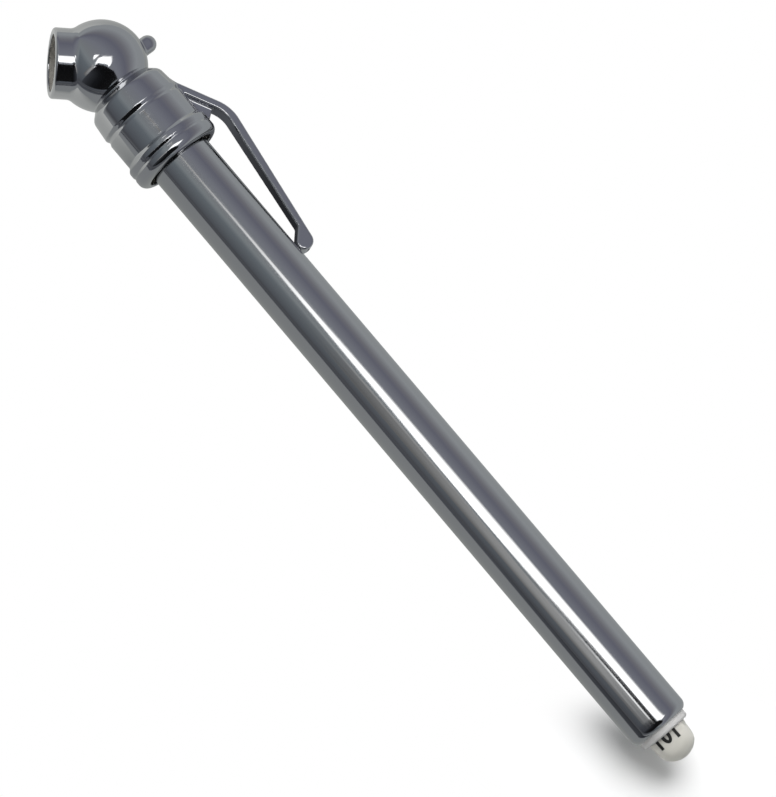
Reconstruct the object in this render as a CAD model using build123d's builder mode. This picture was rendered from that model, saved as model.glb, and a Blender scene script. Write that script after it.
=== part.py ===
from build123d import *
import math
import os

# A pencil tire pressure gauge. Sizes are in millimetres and angles in degrees.
# The origin is the middle of the chuck's mouth, where the tire valve goes in.
# The barrel lies along X with the bar's tip at +X, and the gauge is symmetric about the XY plane.

# Clearances
fixed_clearance = 0.02      # radial, between pieces that don't move
slide_clearance = 0.05      # radial, between the piston cup and the barrel
loose_clearance = 0.12      # round the spring and the bar

# Chuck and ball
chuck_angle = 50            # between the chuck's axis and the barrel's
chuck_r = 5.15
chuck_reach = 7.3           # from the mouth to the middle of the ball
socket_r = 4.15             # takes an 8 mm tire valve
socket_depth = 3.5          # from the mouth to the gasket's face
gasket_lip = 0.2            # how far the mouth's lip stands in front of the gasket
gasket_thick = 1.9
gasket_hole_r = 2.2
gasket_bevel = 0.5
spider_thick = 0.8
chamber_r = 3.3
chamber_room = 0.6          # behind the pin's head
passage_r = 1.3
passage_past = 1.5          # how far the air passage runs past the middle of the ball
mouth_edge = 0.25
ball_r = 6.75
ball_root = 0.6             # fillet between the ball and the chuck

# Collar, outside, as distances back from its mouth and radii
mouth_from_ball = 17.97
shoulder_back = 12.15
shoulder_r = 6.2
shoulder_round = 1.3
band_r = 6.52
groove_back = 8.5
groove_half = 0.55
groove_depth = 0.25
groove_round = 0.4
middle_r = 6.44
step_back = 3.75
step_run = 0.6
step_round = 0.4
lip_band_r = 6.95
lip_groove_back = 2.05
lip_groove_half = 0.35
lip_groove_depth = 0.16
lip_round = 1.15

# Collar, inside
collar_bore_r = 5.6
collar_bore_depth = 2.4
thread_r = 4.95             # crest of the rolled thread on the barrel
thread_length = 6.8
barrel_seat_back = 9.6
seal_thick = 0.8
seal_hole_r = 2.6

# Deflator nub
nub_from_ball = 1.34
nub_r = 1.32
nub_dome_y = 7.67           # middle of its domed end, from the barrel's axis
nub_root = 0.35

# Pocket clip, seen from the side: distances from the collar's mouth and from the barrel's axis
clip_root = (-11.4, 5.6)
clip_crest = (-1.64, 10.89)
clip_tip = (20.3, 7.53)
clip_crest_round = 6.0
clip_root_thick = 1.36      # measured across the barrel
clip_tip_thick = 1.05
clip_root_width = 3.2
clip_tip_width = 2.4
clip_edge = 0.2
clip_gap = 0.06             # between the clip's knob and the barrel
knob_r = 1.15
knob_x = 20.45
knob_slope = 45
knob_bend_round = 0.6
web_width = 1.6             # web between the clip and the collar
web_top_x = -3.4
web_back_x = -7.8
web_foot_x = -1.6
web_bite = 0.3              # how deep the web runs into the collar and the clip
relief_back = 1.9           # flat on the collar under the clip
relief_y = 6.4

# Barrel
barrel_length = 106.2       # from the collar's mouth to the rolled end
barrel_r = 4.75
barrel_wall = 0.35
roll_r = 1.35
roll_angle = 58

# Bushing at the barrel's end
bushing_length = 6.4        # inside the barrel
nose_length = 1.15          # outside it
nose_edge = 0.35
shoulder_run = 0.6
tongue_slot = 0.6           # the slots that let the bushing's tongues grip the bar
tongue_length = 4.0

# Indicator bar
bar_r = 3.35
bar_flats = 5.7             # across its four flats
bar_turn = 30               # the bar's scale faces this far round from the gauge's side
bar_dome = 3.5
bar_reach = 4.35            # how far its tip stands out of the bushing at rest

# Spring
spring_wire = 0.7           # its wire is square here, and stiff enough for 345 kPa at full stroke
spring_turns = 12
stop_thick = 0.4

# Piston
piston_back = 9.2           # the cup's lip, back from the collar's mouth
cup_length = 2.8
cup_base = 0.9
cup_wall = 0.8
cup_lip = 0.3
expander_wire = 0.5
expander_stand = 0.5        # clear of the cup's floor
expander_arc = 340
cup_washer_thick = 0.4
cup_washer_r = 2.6
rivet_r = 0.9
rivet_head_r = 1.7
rivet_head_thick = 0.6
rivet_head_edge = 0.25
rivet_tail = 0.6
rivet_sink = 0.2            # below the boss's end
piston_length = 2.6
boss_length = 2.0
boss_step = 0.15            # narrower than the bar
seat_thick = 0.3
bar_gap = 0.1               # between the piston's boss and the bar

# Depressor pin
pin_r = 0.7
pin_head_r = 0.95
pin_head_thick = 0.5
pin_point = 0.3
pin_sink = 0.2              # its tip, below the gasket's face
air_hole_r = 0.4
air_hole_pitch_r = 1.45     # between the pin and the edge of the gasket's hole
air_hole_count = 4

# Places worked out from the sizes above
chuck_into = (math.cos(math.radians(chuck_angle)), math.sin(math.radians(chuck_angle)), 0)
ball_x = chuck_reach * chuck_into[0]
barrel_y = chuck_reach * chuck_into[1]
mouth_x = ball_x + mouth_from_ball
barrel_bore_r = barrel_r - barrel_wall
pocket_r = socket_r + gasket_lip

# Side planes for turned outlines: along the axis, then out from it
barrel_side = Plane(origin=(mouth_x, barrel_y, 0), x_dir=(1, 0, 0), z_dir=(0, 0, 1))
chuck_side = Plane(origin=(0, 0, 0), x_dir=chuck_into, z_dir=(0, 0, 1))
barrel_plan = Plane(origin=(mouth_x, barrel_y, 0), x_dir=(1, 0, 0), z_dir=(0, -1, 0))
barrel_axis = Axis((mouth_x, barrel_y, 0), (1, 0, 0))
chuck_axis = Axis((0, 0, 0), chuck_into)


def across_barrel(x):
    """The plane across the barrel at x from the collar's mouth, with its own X along the frame's Y."""
    return Plane(origin=(mouth_x + x, barrel_y, 0), x_dir=(0, 1, 0), z_dir=(1, 0, 0))


def across_chuck(depth):
    """The plane across the chuck at a depth into its mouth."""
    x, y, z = (depth * part for part in chuck_into)
    return Plane(origin=(x, y, z), x_dir=(0, 0, 1), z_dir=chuck_into)


def point_on_line(start, end, x):
    """The height at x of the straight line through two points."""
    return start[1] + (end[1] - start[1]) * (x - start[0]) / (end[0] - start[0])


# Places along the barrel, from the collar's mouth, worked out from the sizes above
chuck_root_angle = math.degrees(math.asin(chuck_r / ball_r))
nub_x = nub_from_ball - mouth_from_ball
pocket_depth = socket_depth + gasket_thick + spider_thick
chamber_depth = pocket_depth + pin_head_thick + chamber_room
seal_back = barrel_seat_back + seal_thick
thread_bore_r = thread_r + fixed_clearance
roll_run = roll_r * math.sin(math.radians(roll_angle))
roll_middle = (barrel_length - roll_run, barrel_r - roll_r)
nose_r = roll_middle[1] + (roll_r - barrel_wall) * math.cos(math.radians(roll_angle)) - fixed_clearance
nose_end = barrel_length + nose_length
bushing_start = roll_middle[0] - bushing_length
bushing_hole = bar_flats + 2 * loose_clearance
bar_end = nose_end + bar_reach
body_start = cup_length - piston_back
cup_floor = body_start - cup_base
cup_r = barrel_bore_r - slide_clearance
seat_start = body_start + piston_length
boss_end = seat_start + boss_length
boss_r = bar_r - boss_step
rivet_recess = rivet_tail + rivet_sink
rivet_tail_start = boss_end - rivet_recess
bar_start = boss_end + bar_gap
coil_r = barrel_bore_r - loose_clearance - spring_wire / 2
spring_start = seat_start + seat_thick
spring_pitch = (bushing_start - stop_thick - spring_start - spring_wire) / spring_turns

# Clip, worked out: its inner side follows the outer one, a thickness nearer the barrel
clip_knob_y = barrel_r + clip_gap + knob_r
inner_crest = (clip_crest[0], clip_crest[1] - clip_root_thick)
inner_tip = (clip_tip[0], clip_tip[1] - clip_tip_thick)
inner_root = (clip_root[0], clip_root[1] - clip_root_thick)
knob_touch = (
    knob_x - knob_r * math.sin(math.radians(knob_slope)),
    clip_knob_y - knob_r * math.cos(math.radians(knob_slope)),
)
# The slope up from the knob meets the clip's inner side here
inner_slope = (inner_tip[1] - inner_crest[1]) / (inner_tip[0] - inner_crest[0])
knob_rise = -math.tan(math.radians(knob_slope))
knob_bend_x = (inner_crest[1] - knob_touch[1] - inner_slope * inner_crest[0] + knob_rise * knob_touch[0]) / (
    knob_rise - inner_slope
)
knob_bend = (knob_bend_x, point_on_line(inner_crest, inner_tip, knob_bend_x))

# Pocket clip: one casting with the head, so it is made first and joined to it below
with BuildPart() as clip:
    with BuildSketch(barrel_side):
        with BuildLine():
            outer = FilletPolyline(clip_root, clip_crest, clip_tip, radius=clip_crest_round)
            TangentArc(outer @ 1, (knob_x + knob_r, clip_knob_y), tangent=outer % 1)
            knob = CenterArc((knob_x, clip_knob_y), knob_r, 0, knob_slope - 180)
            inner = FilletPolyline(
                knob @ 1,
                knob_bend,
                inner_crest,
                inner_root,
                radius=[knob_bend_round, clip_crest_round - clip_root_thick],
            )
            Line(inner @ 1, outer @ 0)
        make_face()
    extrude(amount=clip_root_width / 2, both=True)
    # Its width tapers to the tip
    with BuildSketch(barrel_plan):
        with BuildLine():
            Polyline(
                (clip_root[0], clip_root_width / 2),
                (knob_x + knob_r, clip_tip_width / 2),
                (knob_x + knob_r, -clip_tip_width / 2),
                (clip_root[0], -clip_root_width / 2),
                close=True,
            )
        make_face()
    extrude(amount=2 * clip_crest[1], both=True, mode=Mode.INTERSECT)
    flanks = clip.faces().sort_by(Axis.Z)
    chamfer(flanks[0].edges() + flanks[-1].edges(), clip_edge)

with BuildPart() as head_casting:
    # Chuck and ball, turned about the chuck's axis
    with BuildSketch(chuck_side):
        with BuildLine():
            ball_arc = CenterArc((chuck_reach, 0), ball_r, 0, 180 - chuck_root_angle)
            Polyline(ball_arc @ 1, (0, chuck_r), (0, 0), ball_arc @ 0)
        make_face()
        fillet(vertices().sort_by_distance(ball_arc @ 1)[0], ball_root)
        chamfer(vertices().sort_by_distance((0, chuck_r))[0], mouth_edge)
    revolve(axis=chuck_axis)

    # Collar, turned about the barrel's axis
    with BuildSketch(barrel_side):
        with BuildLine():
            collar_outline = FilletPolyline(
                (-mouth_from_ball, 0),
                (-shoulder_back, shoulder_r),
                (-groove_back - groove_half, band_r),
                (-groove_back, middle_r - groove_depth),
                (-groove_back + groove_half, middle_r),
                (-step_back, middle_r),
                (-step_back + step_run, lip_band_r),
                (-lip_groove_back - lip_groove_half, lip_band_r),
                (-lip_groove_back, lip_band_r - lip_groove_depth),
                (-lip_groove_back + lip_groove_half, lip_band_r),
                (0, lip_band_r),
                (0, collar_bore_r),
                radius=[shoulder_round, 0, groove_round, 0, 0, step_round, 0, 0, 0, lip_round],
            )
            Polyline(collar_outline @ 1, (0, 0), collar_outline @ 0)
        make_face()
    revolve(axis=barrel_axis)

    # Flat on the collar under the clip
    with BuildSketch(barrel_side):
        with Locations((-relief_back, relief_y)):
            Rectangle(relief_back + lip_band_r, lip_band_r, align=(Align.MIN, Align.MIN))
    extrude(amount=lip_band_r, both=True, mode=Mode.SUBTRACT)

    # Deflator nub
    with BuildSketch(barrel_side):
        with BuildLine():
            nub_dome = CenterArc((nub_x, nub_dome_y), nub_r, 0, 90)
            Polyline(nub_dome @ 1, (nub_x, 0), (nub_x + nub_r, 0), nub_dome @ 0)
        make_face()
    revolve(axis=Axis((mouth_x + nub_x, barrel_y, 0), (0, 1, 0)))
    nub_sides = faces().filter_by(GeomType.CYLINDER).filter_by(lambda face: abs(face.radius - nub_r) < 0.001)
    fillet(nub_sides.edges().sort_by(Axis.Y)[0], nub_root)

    # Clip, and the web under its root
    add(clip.part)
    with BuildSketch(barrel_side):
        with BuildLine():
            Polyline(
                (web_top_x, point_on_line(inner_root, inner_crest, web_top_x) + web_bite),
                (web_foot_x, relief_y),
                (web_foot_x, collar_bore_r + web_bite),
                (web_back_x, collar_bore_r + web_bite),
                (web_back_x, point_on_line(inner_root, inner_crest, web_back_x) + web_bite),
                close=True,
            )
        make_face()
    extrude(amount=web_width / 2, both=True)

    # Valve socket, gasket pocket and air chamber
    with BuildSketch(chuck_side):
        with BuildLine():
            Polyline(
                (0, 0),
                (0, socket_r),
                (socket_depth, socket_r),
                (socket_depth, pocket_r),
                (pocket_depth, pocket_r),
                (pocket_depth, chamber_r),
                (chamber_depth, chamber_r),
                (chamber_depth, 0),
                close=True,
            )
        make_face()
    revolve(axis=chuck_axis, mode=Mode.SUBTRACT)

    # Collar bore, thread bore and air passage
    with BuildSketch(barrel_side):
        with BuildLine():
            Polyline(
                (0, 0),
                (0, collar_bore_r),
                (-collar_bore_depth, collar_bore_r),
                (-collar_bore_depth - collar_bore_r + thread_bore_r, thread_bore_r),
                (-seal_back, thread_bore_r),
                (-seal_back, passage_r),
                (-mouth_from_ball - passage_past, passage_r),
                (-mouth_from_ball - passage_past, 0),
                close=True,
            )
        make_face()
    revolve(axis=barrel_axis, mode=Mode.SUBTRACT)

with BuildPart() as chuck_gasket:
    with BuildSketch(chuck_side):
        with BuildLine():
            Polyline(
                (socket_depth, gasket_hole_r + gasket_bevel),
                (socket_depth, pocket_r - fixed_clearance),
                (socket_depth + gasket_thick, pocket_r - fixed_clearance),
                (socket_depth + gasket_thick, gasket_hole_r),
                (socket_depth + gasket_bevel, gasket_hole_r),
                close=True,
            )
        make_face()
    revolve(axis=chuck_axis)

with BuildPart() as pin_spider:
    with BuildSketch(across_chuck(socket_depth + gasket_thick)):
        Circle(pocket_r - fixed_clearance)
        Circle(pin_r + fixed_clearance, mode=Mode.SUBTRACT)
        with PolarLocations(air_hole_pitch_r, air_hole_count):
            Circle(air_hole_r, mode=Mode.SUBTRACT)
    extrude(amount=spider_thick)

with BuildPart() as depressor_pin:
    with BuildSketch(across_chuck(pocket_depth)):
        Circle(pin_head_r)
    extrude(amount=pin_head_thick)
    with BuildSketch(across_chuck(socket_depth + pin_sink)):
        Circle(pin_r)
    extrude(amount=pocket_depth - socket_depth - pin_sink)
    chamfer(depressor_pin.edges().sort_by(chuck_axis)[0], pin_point)

with BuildPart() as barrel_seal:
    with BuildSketch(across_barrel(-seal_back)):
        Circle(thread_bore_r - fixed_clearance)
        Circle(seal_hole_r, mode=Mode.SUBTRACT)
    extrude(amount=seal_thick)

with BuildPart() as barrel_tube:
    with BuildSketch(barrel_side):
        with BuildLine():
            outer_roll = CenterArc(roll_middle, roll_r, 90, -roll_angle)
            inner_roll = CenterArc(roll_middle, roll_r - barrel_wall, 90, -roll_angle)
            Line(outer_roll @ 1, inner_roll @ 1)
            Polyline(
                inner_roll @ 0,
                (-barrel_seat_back, barrel_bore_r),
                (-barrel_seat_back, thread_r),
                (-barrel_seat_back + thread_length, thread_r),
                (-barrel_seat_back + thread_length + thread_r - barrel_r, barrel_r),
                outer_roll @ 0,
            )
        make_face()
    revolve(axis=barrel_axis)

with BuildPart() as end_bushing:
    with BuildSketch(barrel_side):
        with BuildLine():
            Polyline(
                (bushing_start, 0),
                (bushing_start, barrel_bore_r - fixed_clearance),
                (roll_middle[0], barrel_bore_r - fixed_clearance),
                (roll_middle[0] + shoulder_run, nose_r),
                (nose_end - nose_edge, nose_r),
                (nose_end, nose_r - nose_edge),
                (nose_end, 0),
                close=True,
            )
        make_face()
    revolve(axis=barrel_axis)
    # Hole in the bar's own shape
    with BuildSketch(across_barrel(bushing_start)):
        Circle(bar_r + loose_clearance)
        Rectangle(bushing_hole, bushing_hole, rotation=bar_turn, mode=Mode.INTERSECT)
    extrude(amount=bushing_length + nose_length + roll_run, mode=Mode.SUBTRACT)
    # Slots that leave four tongues on the bar
    with BuildSketch(across_barrel(bushing_start)):
        Rectangle(2 * barrel_r, tongue_slot, rotation=bar_turn)
        Rectangle(tongue_slot, 2 * barrel_r, rotation=bar_turn)
    extrude(amount=tongue_length, mode=Mode.SUBTRACT)

with BuildPart() as indicator_bar:
    with BuildSketch(across_barrel(bar_start)):
        Circle(bar_r)
        Rectangle(bar_flats, bar_flats, rotation=bar_turn, mode=Mode.INTERSECT)
    extrude(amount=bar_end - bar_start)
    # Domed tip
    with BuildSketch(barrel_side):
        with BuildLine():
            dome = EllipticalCenterArc((bar_end - bar_dome, 0), bar_dome, bar_r, start_angle=0, arc_size=90)
            Polyline(dome @ 1, (bar_start, bar_r), (bar_start, 0), dome @ 0)
        make_face()
    revolve(axis=barrel_axis, mode=Mode.INTERSECT)

with BuildPart() as spring_stop_washer:
    with BuildSketch(across_barrel(bushing_start - stop_thick)):
        Circle(barrel_bore_r - fixed_clearance)
        Circle(bar_r + loose_clearance, mode=Mode.SUBTRACT)
    extrude(amount=stop_thick)

# Spring: wound along the bar from the piston's seat to the stop washer
with BuildPart() as calibrated_spring:
    with BuildLine():
        coil = Helix(
            pitch=spring_pitch,
            height=spring_pitch * spring_turns,
            radius=coil_r,
            center=(mouth_x + spring_start + spring_wire / 2, barrel_y, 0),
            direction=(1, 0, 0),
        )
    with BuildSketch(Plane(origin=coil @ 0, z_dir=coil % 0)):
        Rectangle(spring_wire, spring_wire)
    sweep(path=coil, is_frenet=True)

with BuildPart() as spring_seat:
    with BuildSketch(across_barrel(seat_start)):
        Circle(barrel_bore_r - loose_clearance)
        Circle(boss_r + fixed_clearance, mode=Mode.SUBTRACT)
    extrude(amount=seat_thick)

with BuildPart() as piston_body:
    with BuildSketch(across_barrel(body_start)):
        Circle(barrel_bore_r - loose_clearance)
    extrude(amount=piston_length)
    with BuildSketch(across_barrel(seat_start)):
        Circle(boss_r)
    extrude(amount=boss_length)
    with BuildSketch(across_barrel(body_start)):
        Circle(rivet_r + fixed_clearance)
    extrude(amount=piston_length + boss_length, mode=Mode.SUBTRACT)
    # Recess for the rivet's tail
    with BuildSketch(across_barrel(boss_end - rivet_recess)):
        Circle(rivet_head_r)
    extrude(amount=rivet_recess, mode=Mode.SUBTRACT)

with BuildPart() as piston_cup:
    with BuildSketch(barrel_side):
        with BuildLine():
            Polyline(
                (-piston_back, cup_r - cup_lip),
                (-piston_back, cup_r),
                (body_start, cup_r),
                (body_start, rivet_r + fixed_clearance),
                (cup_floor, rivet_r + fixed_clearance),
                (cup_floor, cup_r - cup_wall),
                (-piston_back + cup_wall, cup_r - cup_wall),
                close=True,
            )
        make_face()
    revolve(axis=barrel_axis)

with BuildPart() as cup_expander:
    with BuildSketch(barrel_side):
        with Locations((cup_floor - expander_stand, cup_r - cup_wall - fixed_clearance)):
            Rectangle(expander_wire, expander_wire, align=(Align.MAX, Align.MAX))
    revolve(axis=barrel_axis, revolution_arc=expander_arc)

with BuildPart() as cup_washer:
    with BuildSketch(across_barrel(cup_floor - cup_washer_thick)):
        Circle(cup_washer_r)
        Circle(rivet_r + fixed_clearance, mode=Mode.SUBTRACT)
    extrude(amount=cup_washer_thick)

with BuildPart() as cup_rivet:
    with BuildSketch(across_barrel(cup_floor - cup_washer_thick - rivet_head_thick)):
        Circle(rivet_head_r)
    extrude(amount=rivet_head_thick)
    chamfer(cup_rivet.edges().sort_by(barrel_axis)[0], rivet_head_edge)
    with BuildSketch(across_barrel(cup_floor - cup_washer_thick)):
        Circle(rivet_r)
    extrude(amount=rivet_tail_start - cup_floor + cup_washer_thick)
    with BuildSketch(across_barrel(rivet_tail_start)):
        Circle(rivet_head_r - fixed_clearance)
    extrude(amount=rivet_tail)

pieces = {
    "head_casting": head_casting,
    "chuck_gasket": chuck_gasket,
    "pin_spider": pin_spider,
    "depressor_pin": depressor_pin,
    "barrel_seal": barrel_seal,
    "barrel_tube": barrel_tube,
    "end_bushing": end_bushing,
    "indicator_bar": indicator_bar,
    "spring_stop_washer": spring_stop_washer,
    "calibrated_spring": calibrated_spring,
    "spring_seat": spring_seat,
    "piston_body": piston_body,
    "piston_cup": piston_cup,
    "cup_expander": cup_expander,
    "cup_washer": cup_washer,
    "cup_rivet": cup_rivet,
}
os.makedirs("parts", exist_ok=True)
for name, piece in pieces.items():
    piece.part.label = name
    export_step(piece.part, f"parts/{name}.step")
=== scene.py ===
# Pencil tire pressure gauge: its finishes, light and camera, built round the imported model.
# Sizes are in millimetres here. Blender's own are metres, in the frame that the solids and the joints share.
import math

import bpy
import numpy as np
from mathutils import Matrix, Vector


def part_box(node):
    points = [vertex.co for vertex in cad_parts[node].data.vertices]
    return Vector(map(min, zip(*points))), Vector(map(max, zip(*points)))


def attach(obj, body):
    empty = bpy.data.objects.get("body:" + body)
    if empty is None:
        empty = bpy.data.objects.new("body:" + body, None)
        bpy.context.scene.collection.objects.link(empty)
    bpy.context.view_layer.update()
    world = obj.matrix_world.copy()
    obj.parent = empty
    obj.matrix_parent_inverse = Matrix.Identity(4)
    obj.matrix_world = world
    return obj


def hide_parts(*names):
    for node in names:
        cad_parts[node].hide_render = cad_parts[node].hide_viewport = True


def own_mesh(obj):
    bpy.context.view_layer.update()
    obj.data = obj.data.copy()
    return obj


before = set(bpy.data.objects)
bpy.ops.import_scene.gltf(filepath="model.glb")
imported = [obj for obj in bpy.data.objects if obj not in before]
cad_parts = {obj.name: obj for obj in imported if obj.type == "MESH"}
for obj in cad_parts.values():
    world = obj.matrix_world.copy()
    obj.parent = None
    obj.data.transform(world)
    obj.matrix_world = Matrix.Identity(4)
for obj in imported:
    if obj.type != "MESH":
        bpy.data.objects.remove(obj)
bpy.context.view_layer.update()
mm = 0.001
print("frame loaded:", len(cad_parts), "nodes")

# Where the barrel lies in the frame. Places along it count from the collar's mouth towards the tip.
seatDepth = 9.6  # from the collar's mouth back to the tube's inner end
travel = 48.0  # how far the bar slides
tubeLow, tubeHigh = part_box("barrel_tube")
collarX = tubeLow.x + seatDepth * mm
axisY = (tubeLow.y + tubeHigh.y) / 2
tubeEnd = (tubeHigh.x - collarX) / mm
barEnd = (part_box("indicator_bar")[1].x - collarX) / mm


# A point from millimetres along the barrel, and up and aside from its axis
def atBarrel(along, up=0.0, side=0.0):
    return Vector((collarX + along * mm, axisY + up * mm, side * mm))


def showMesh(name, mesh):
    piece = bpy.data.objects.new(name, mesh)
    bpy.context.collection.objects.link(piece)
    return piece


def newMesh(name, points, faces, smooth=False):
    mesh = bpy.data.meshes.new(name)
    mesh.from_pydata(points, [], faces)
    mesh.polygons.foreach_set("use_smooth", np.full(len(faces), smooth))
    mesh.update()
    return mesh


# Angles round a circle, from 0 and evenly apart
def anglesRound(count):
    return np.arange(count) * 2 * math.pi / count


# Straight and round parts of a closed outline, drawn anticlockwise. A corner is x, y and its radius.
def outlineParts(corners):
    points = [np.array(corner[:2], float) for corner in corners]
    parts, tangents = [], []
    for i, corner in enumerate(corners):
        radius = corner[2]
        here, before, after = points[i], points[i - 1], points[(i + 1) % len(points)]
        back = (before - here) / np.linalg.norm(before - here)
        ahead = (after - here) / np.linalg.norm(after - here)
        half = 0.5 * math.acos(np.clip(back @ ahead, -1, 1))
        middle = (back + ahead) / np.linalg.norm(back + ahead)
        centre = here + middle * radius / math.sin(half)
        convex = back[0] * ahead[1] - back[1] * ahead[0] < 0
        tangents.append((here + back * radius / math.tan(half), here + ahead * radius / math.tan(half)))
        parts.append(("arc", centre, radius, -middle, math.pi / 2 - half, convex))
    for i in range(len(corners)):
        parts.append(("line", tangents[i][1], tangents[(i + 1) % len(corners)][0]))
    return parts


# Distance of points from such an outline, less than 0 inside it
def outlineDistance(parts, x, y):
    nearest = np.full(x.shape, math.inf)
    signed = np.full(x.shape, math.inf)
    for part in parts:
        if part[0] == "arc":
            _, centre, radius, towards, spread, convex = part
            dx, dy = x - centre[0], y - centre[1]
            reach = np.hypot(dx, dy)
            outside = reach - radius if convex else radius - reach
            facing = dx * towards[0] + dy * towards[1] >= reach * math.cos(spread)
            away = np.where(facing, np.abs(outside), math.inf)
        else:
            _, start, end = part
            run = end - start
            dx, dy = x - start[0], y - start[1]
            share = np.clip((dx * run[0] + dy * run[1]) / (run @ run), 0, 1)
            away = np.hypot(dx - share * run[0], dy - share * run[1])
            outside = -np.sign(run[0] * dy - run[1] * dx) * away
        closer = away < nearest
        nearest[closer] = away[closer]
        signed[closer] = outside[closer]
    return signed


# Distance from two solids joined with a fillet
def joined(first, second, radius):
    inner = np.hypot(np.maximum(radius - first, 0), np.maximum(radius - second, 0))
    return np.maximum(radius, np.minimum(first, second)) - inner


# Distance from what two solids share, with a rounded edge
def shared(first, second, radius):
    inner = np.hypot(np.maximum(radius + first, 0), np.maximum(radius + second, 0))
    return np.minimum(-radius, np.maximum(first, second)) + inner


# Head: ball, chuck, collar, nub and clip are one zinc casting
head = {
    "ballBack": 17.97,  # the ball's middle, from the collar's mouth
    "ballR": 6.75,
    "ballRoot": 0.3,
    "chuckAngle": 50,
    "chuckReach": 7.3,  # from the chuck's mouth to the ball's middle
    "chuckR": 5.15,
    "chuckEdge": 0.42,
    "socketR": 4.15,  # takes the valve
    "socketDepth": 3.5,
    "gasketSeatR": 4.35,
    "gasketSeatEnd": 6.2,
    "chamberR": 3.3,
    "lipR": 6.95,
    "lipEdge": 1.15,
    "lipGroove": 0.16,
    "middleR": 6.44,
    "middleGroove": 0.25,
    "bandR": 6.52,
    "shoulderR": 6.2,
    "shoulderRound": 1.3,
    "collarRoot": 0.15,
    "mouthR": 5.6,
    "mouthDepth": 2.4,
    "threadR": 4.97,
    "threadEnd": 10.4,
    "passageR": 1.3,  # leads the valve's air to the piston
    "passageEnd": 19.47,
    "nubBack": 16.63,
    "nubR": 1.32,
    "nubDome": 7.67,
    "nubRoot": 0.35,
    "clipEnds": (-11.4, 21.6),
    "clipWidths": (3.2, 2.4),  # at its two ends
    "clipBackUp": 5.6,
    "clipCrest": (-1.64, 10.89),
    "clipThick": 1.36,
    "clipBend": 6.0,
    "clipEdge": 0.3,
    "clipRoot": 0.45,
    "webHalf": 0.8,
    "webEdge": 0.15,
    "reliefBack": 1.9,  # the flat on the collar under the clip
    "reliefUp": 6.4,
    "smallRound": 0.12,
    "unplated": (0.3, 0.4),  # plating ends this far into the chuck's mouth and the collar's
    "grain": 0.19,  # of the finished mesh
    "farthest": 0.4,  # that a point moves in one pass
    "passes": 3,
}
closed = -3.0  # past the axis, where an outline that is turned round it closes
pastMouth = 1.0  # how far a bore's outline runs out of its mouth
crisp = 0.1  # radius of a corner that looks sharp
collarParts = outlineParts([
    (-head["ballBack"], closed, crisp),
    (0.0, closed, crisp),
    (0.0, head["lipR"], head["lipEdge"]),
    (-1.70, head["lipR"], 0.15),
    (-2.05, head["lipR"] - head["lipGroove"], 0.15),
    (-2.40, head["lipR"], 0.15),
    (-3.15, head["lipR"], 0.4),  # the lip's band ends in a step
    (-3.75, head["middleR"], 0.4),
    (-7.95, head["middleR"], 0.3),
    (-8.50, head["middleR"] - head["middleGroove"], 0.4),
    (-9.05, head["bandR"], 0.3),
    (-12.15, head["shoulderR"], head["shoulderRound"]),
    (-head["ballBack"], 0.0, crisp),  # a cone that runs into the ball
])
collarBore = outlineParts([
    (-head["passageEnd"], closed, crisp),
    (pastMouth, closed, crisp),
    (pastMouth, head["mouthR"], crisp),
    (-head["mouthDepth"], head["mouthR"], crisp),
    (-head["mouthDepth"] - head["mouthR"] + head["threadR"], head["threadR"], crisp),
    (-head["threadEnd"], head["threadR"], crisp),
    (-head["threadEnd"], head["passageR"], crisp),
    (-head["passageEnd"], head["passageR"], crisp),
])
chuckParts = outlineParts([
    (0.0, closed, crisp),
    (head["chuckReach"], closed, crisp),
    (head["chuckReach"], head["chuckR"], crisp),
    (0.0, head["chuckR"], head["chuckEdge"]),
])
chuckBore = outlineParts([
    (-pastMouth, closed, crisp),
    (head["chuckReach"], closed, crisp),
    (head["chuckReach"], head["chamberR"], crisp),
    (head["gasketSeatEnd"], head["chamberR"], crisp),
    (head["gasketSeatEnd"], head["gasketSeatR"], crisp),
    (head["socketDepth"], head["gasketSeatR"], 0.05),
    (head["socketDepth"], head["socketR"], 0.05),
    (-pastMouth, head["socketR"], crisp),
])
# The clip from the side: along its underside to the bent foot, then back over its crest
clipBack, clipFoot = head["clipEnds"]
crestAlong, crestUp = head["clipCrest"]
clipParts = outlineParts([
    (clipBack, head["clipBackUp"] - head["clipThick"], crisp),
    (crestAlong, crestUp - head["clipThick"], head["clipBend"] - head["clipThick"]),
    (17.98, 6.80, 0.6),
    (19.97, 4.81, 1.145),
    (clipFoot, 4.81, 1.145),
    (clipFoot, 7.33, 1.35),
    (crestAlong, crestUp, head["clipBend"]),
    (clipBack, head["clipBackUp"], crisp),
])
webParts = outlineParts([
    (-7.8, 5.9, crisp),
    (-1.6, 5.9, crisp),
    (-1.6, 6.4, crisp),
    (-3.4, 8.9, crisp),
    (-7.8, 6.5, crisp),
])


# How deep points lie in the chuck from its mouth, and how far off its axis
def inChuck(along, up, side):
    angle = math.radians(head["chuckAngle"])
    into = np.array([math.cos(angle), math.sin(angle)])
    mouth = np.array([-head["ballBack"], 0.0]) - head["chuckReach"] * into
    depth = (along - mouth[0]) * into[0] + (up - mouth[1]) * into[1]
    across = (up - mouth[1]) * into[0] - (along - mouth[0]) * into[1]
    return depth, np.hypot(across, side)


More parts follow.
